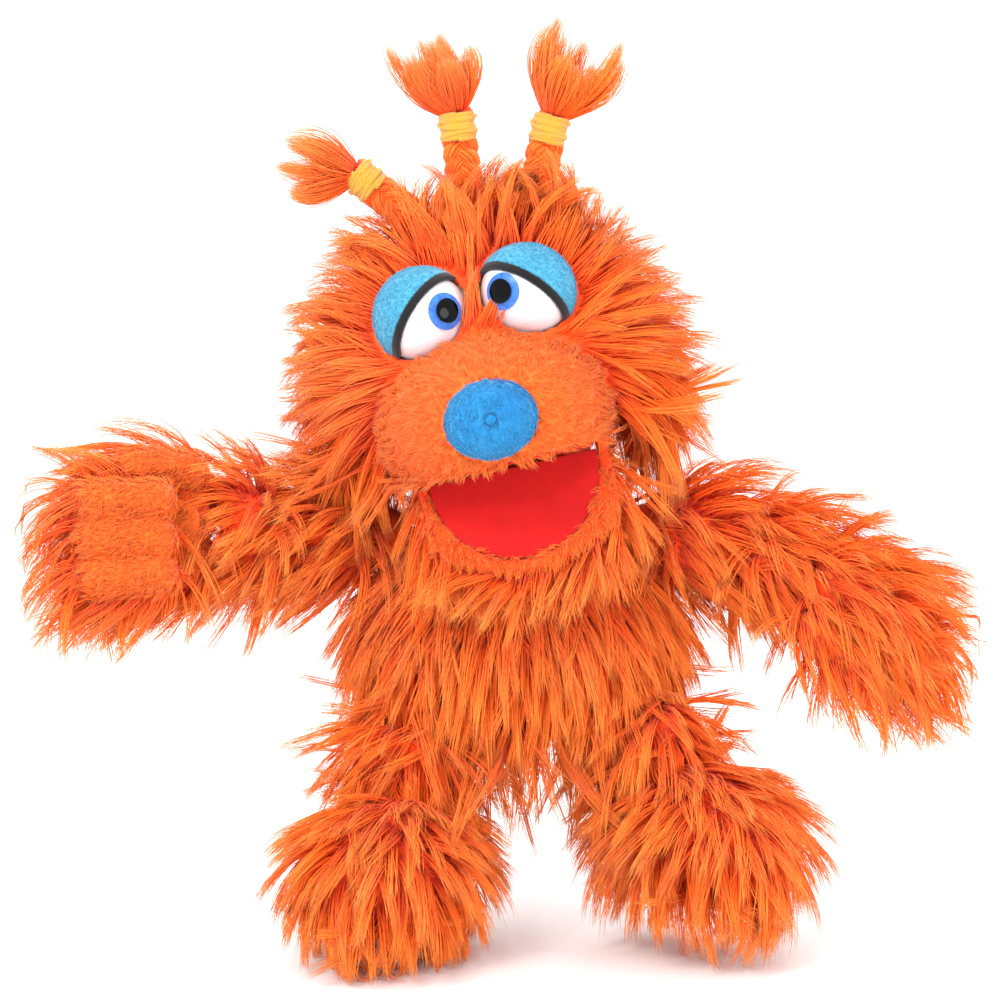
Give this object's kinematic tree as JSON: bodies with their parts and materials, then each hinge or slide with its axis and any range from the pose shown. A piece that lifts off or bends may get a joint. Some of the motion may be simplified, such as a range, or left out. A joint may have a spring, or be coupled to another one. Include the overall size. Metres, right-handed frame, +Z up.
{
  "type": "moving mouth puppet",
  "caption": "Shaggy orange monster hand puppet with a moving mouth, glove hands, tied hair braids and dangling slipper feet.",
  "frame": {"origin": "centre of the lower rim of the sleeve cuff, where the player's arm goes in", "axes": "+Z up along the arm sleeve; the puppet faces -Y; +X is the right side seen from the front"},
  "size_m": [0.5189, 0.2236, 0.51],
  "materials": {
    "long_fur": "long-pile faux fur",
    "short_fur": "short-pile plush",
    "fibre_fill": "polyester fibre fill in a cloth bag",
    "lining_satin": "satin weave",
    "foam": "open-cell foam",
    "board": "stiff polypropylene sheet",
    "mouth_felt": "brushed knit",
    "nose_plush": "short-pile plush",
    "eye_white": "smooth moulded plastic",
    "iris_blue": "printed and lacquered",
    "pupil_black": "polished",
    "lid_plush": "short-pile plush",
    "lash_felt": "felt",
    "band_yarn": "wrapped cotton tape",
    "post_plastic": "moulded"
  },
  "bodies": {
    "torso": {"body_skin": "long_fur", "body_padding": "fibre_fill", "body_lining": "lining_satin", "sleeve_cuff": "lining_satin", "neck_collar": "foam"},
    "neck_turning": {"neck_gusset_inner": "lining_satin"},
    "neck_nodding": {"neck_gusset_outer": "lining_satin"},
    "head": {"head_skin": "long_fur", "head_foam": "foam", "muzzle_pad": "short_fur", "palate_board": "board", "palate_fabric": "mouth_felt", "mouth_fold": "mouth_felt", "finger_pocket": "lining_satin", "nose": "nose_plush", "nose_button": "post_plastic", "eyeball_left": "eye_white", "eyeball_right": "eye_white", "eyelid_left": "lid_plush", "eyelid_right": "lid_plush", "lash_left": "lash_felt", "lash_right": "lash_felt", "irises": "iris_blue", "pupils": "pupil_black", "eye_posts": "post_plastic", "eye_washers": "post_plastic"},
    "jaw": {"jaw_pad": "short_fur", "jaw_board": "board", "jaw_fabric": "mouth_felt", "thumb_pocket": "lining_satin"},
    "left_braid": {"left_plait": "long_fur", "left_band": "band_yarn", "left_tuft": "long_fur"},
    "middle_braid": {"middle_plait": "long_fur", "middle_band": "band_yarn", "middle_tuft": "long_fur"},
    "right_braid": {"right_plait": "long_fur", "right_band": "band_yarn", "right_tuft": "long_fur"},
    "left_shoulder": {"left_shoulder_pad": "fibre_fill"},
    "left_arm": {"left_upper_arm": "long_fur"},
    "left_glove": {"left_forearm": "long_fur", "left_palm": "long_fur", "left_palm_patch": "short_fur"},
    "left_fist": {"left_fingers": "short_fur"},
    "left_thumb_root": {"left_thumb": "short_fur"},
    "right_shoulder": {"right_shoulder_pad": "fibre_fill"},
    "right_arm": {"right_upper_arm": "long_fur"},
    "right_glove": {"right_forearm": "long_fur", "right_palm": "long_fur", "right_palm_patch": "short_fur"},
    "right_fist": {"right_fingers": "short_fur"},
    "right_thumb_root": {"right_thumb": "short_fur"},
    "left_hip": {"left_hip_pad": "fibre_fill"},
    "left_shin": {"left_leg": "long_fur"},
    "left_slipper": {"left_foot": "long_fur"},
    "right_hip": {"right_hip_pad": "fibre_fill"},
    "right_shin": {"right_leg": "long_fur"},
    "right_slipper": {"right_foot": "long_fur"}
  },
  "joints": [
    {"name": "neck_turn", "type": "hinge", "parent": "torso", "child": "neck_turning", "pos_m": [0, 0, 0.15], "axis": [0, 0, 1], "range_deg": [-24, 24]},
    {"name": "head_nod", "type": "hinge", "parent": "neck_turning", "child": "neck_nodding", "pos_m": [0, 0, 0.15], "axis": [-1, 0, 0], "range_deg": [-11, 18]},
    {"name": "head_tilt", "type": "hinge", "parent": "neck_nodding", "child": "head", "pos_m": [0, 0, 0.15], "axis": [0, 1, 0], "range_deg": [-8, 22]},
    {"name": "mouth_open", "type": "hinge", "parent": "head", "child": "jaw", "pos_m": [-0.00371, -0.068, 0.16608], "axis": [0.9744, 0, 0.225], "range_deg": [-50, 12]},
    {"name": "left_braid_flop", "type": "hinge", "parent": "head", "child": "left_braid", "pos_m": [-0.046, -0.02, 0.296], "axis": [0, 1, 0], "range_deg": [-9, 28]},
    {"name": "middle_braid_flop", "type": "hinge", "parent": "head", "child": "middle_braid", "pos_m": [-0.027, -0.026, 0.299], "axis": [0, 1, 0], "range_deg": [-12, 18]},
    {"name": "right_braid_flop", "type": "hinge", "parent": "head", "child": "right_braid", "pos_m": [0.006, -0.022, 0.3], "axis": [0, 1, 0], "range_deg": [-20, 30]},
    {"name": "left_shoulder_raise", "type": "hinge", "parent": "torso", "child": "left_shoulder", "pos_m": [-0.081, 0.002, 0.116], "axis": [0, 1, 0], "range_deg": [-38, 22]},
    {"name": "left_shoulder_swing", "type": "hinge", "parent": "left_shoulder", "child": "left_arm", "pos_m": [-0.081, 0.002, 0.116], "axis": [0, 0, 1], "range_deg": [-25, 38]},
    {"name": "left_elbow_bend", "type": "hinge", "parent": "left_arm", "child": "left_glove", "pos_m": [-0.141, -0.012, 0.123], "axis": [0, 0, 1], "range_deg": [-20, 40]},
    {"name": "left_finger_curl", "type": "hinge", "parent": "left_glove", "child": "left_fist", "pos_m": [-0.25053, -0.0697, 0.1244], "axis": [0.0363, -0.0929, -0.995], "range_deg": [0, 140]},
    {"name": "left_thumb_swing", "type": "hinge", "parent": "left_glove", "child": "left_thumb_root", "pos_m": [-0.19056, -0.04457, 0.16042], "axis": [-0.3617, 0.9269, -0.0998], "range_deg": [0, 55]},
    {"name": "right_shoulder_raise", "type": "hinge", "parent": "torso", "child": "right_shoulder", "pos_m": [0.081, 0.002, 0.119], "axis": [0, -1, 0], "range_deg": [-20, 32]},
    {"name": "right_shoulder_swing", "type": "hinge", "parent": "right_shoulder", "child": "right_arm", "pos_m": [0.081, 0.002, 0.119], "axis": [0, 0, -1], "range_deg": [-25, 38]},
    {"name": "right_elbow_bend", "type": "hinge", "parent": "right_arm", "child": "right_glove", "pos_m": [0.133, -0.008, 0.117], "axis": [0, 0, -1], "range_deg": [-20, 40]},
    {"name": "right_finger_curl", "type": "hinge", "parent": "right_glove", "child": "right_fist", "pos_m": [0.24037, -0.02466, 0.0513], "axis": [-0.2912, -0.9258, -0.2412], "range_deg": [0, 140]},
    {"name": "right_thumb_swing", "type": "hinge", "parent": "right_glove", "child": "right_thumb_root", "pos_m": [0.17135, -0.04629, 0.06841], "axis": [-0.3514, 0.338, -0.8731], "range_deg": [0, 55]},
    {"name": "left_leg_kick", "type": "hinge", "parent": "torso", "child": "left_hip", "pos_m": [-0.057, -0.04, 0.016], "axis": [-1, 0, 0], "range_deg": [-3, 40]},
    {"name": "left_leg_splay", "type": "hinge", "parent": "left_hip", "child": "left_shin", "pos_m": [-0.057, -0.04, 0.016], "axis": [0, 1, 0], "range_deg": [-6, 20]},
    {"name": "left_ankle_flex", "type": "hinge", "parent": "left_shin", "child": "left_slipper", "pos_m": [-0.068, -0.046, -0.034], "axis": [0.9684, -0.2496, 0], "range_deg": [-12, 15]},
    {"name": "right_leg_kick", "type": "hinge", "parent": "torso", "child": "right_hip", "pos_m": [0.058, -0.042, 0.014], "axis": [-1, 0, 0], "range_deg": [-3, 40]},
    {"name": "right_leg_splay", "type": "hinge", "parent": "right_hip", "child": "right_shin", "pos_m": [0.058, -0.042, 0.014], "axis": [0, -1, 0], "range_deg": [-6, 6]},
    {"name": "right_ankle_flex", "type": "hinge", "parent": "right_shin", "child": "right_slipper", "pos_m": [0.093, -0.038, -0.018], "axis": [0.8645, 0.5026, 0], "range_deg": [-12, 15]}
  ]
}
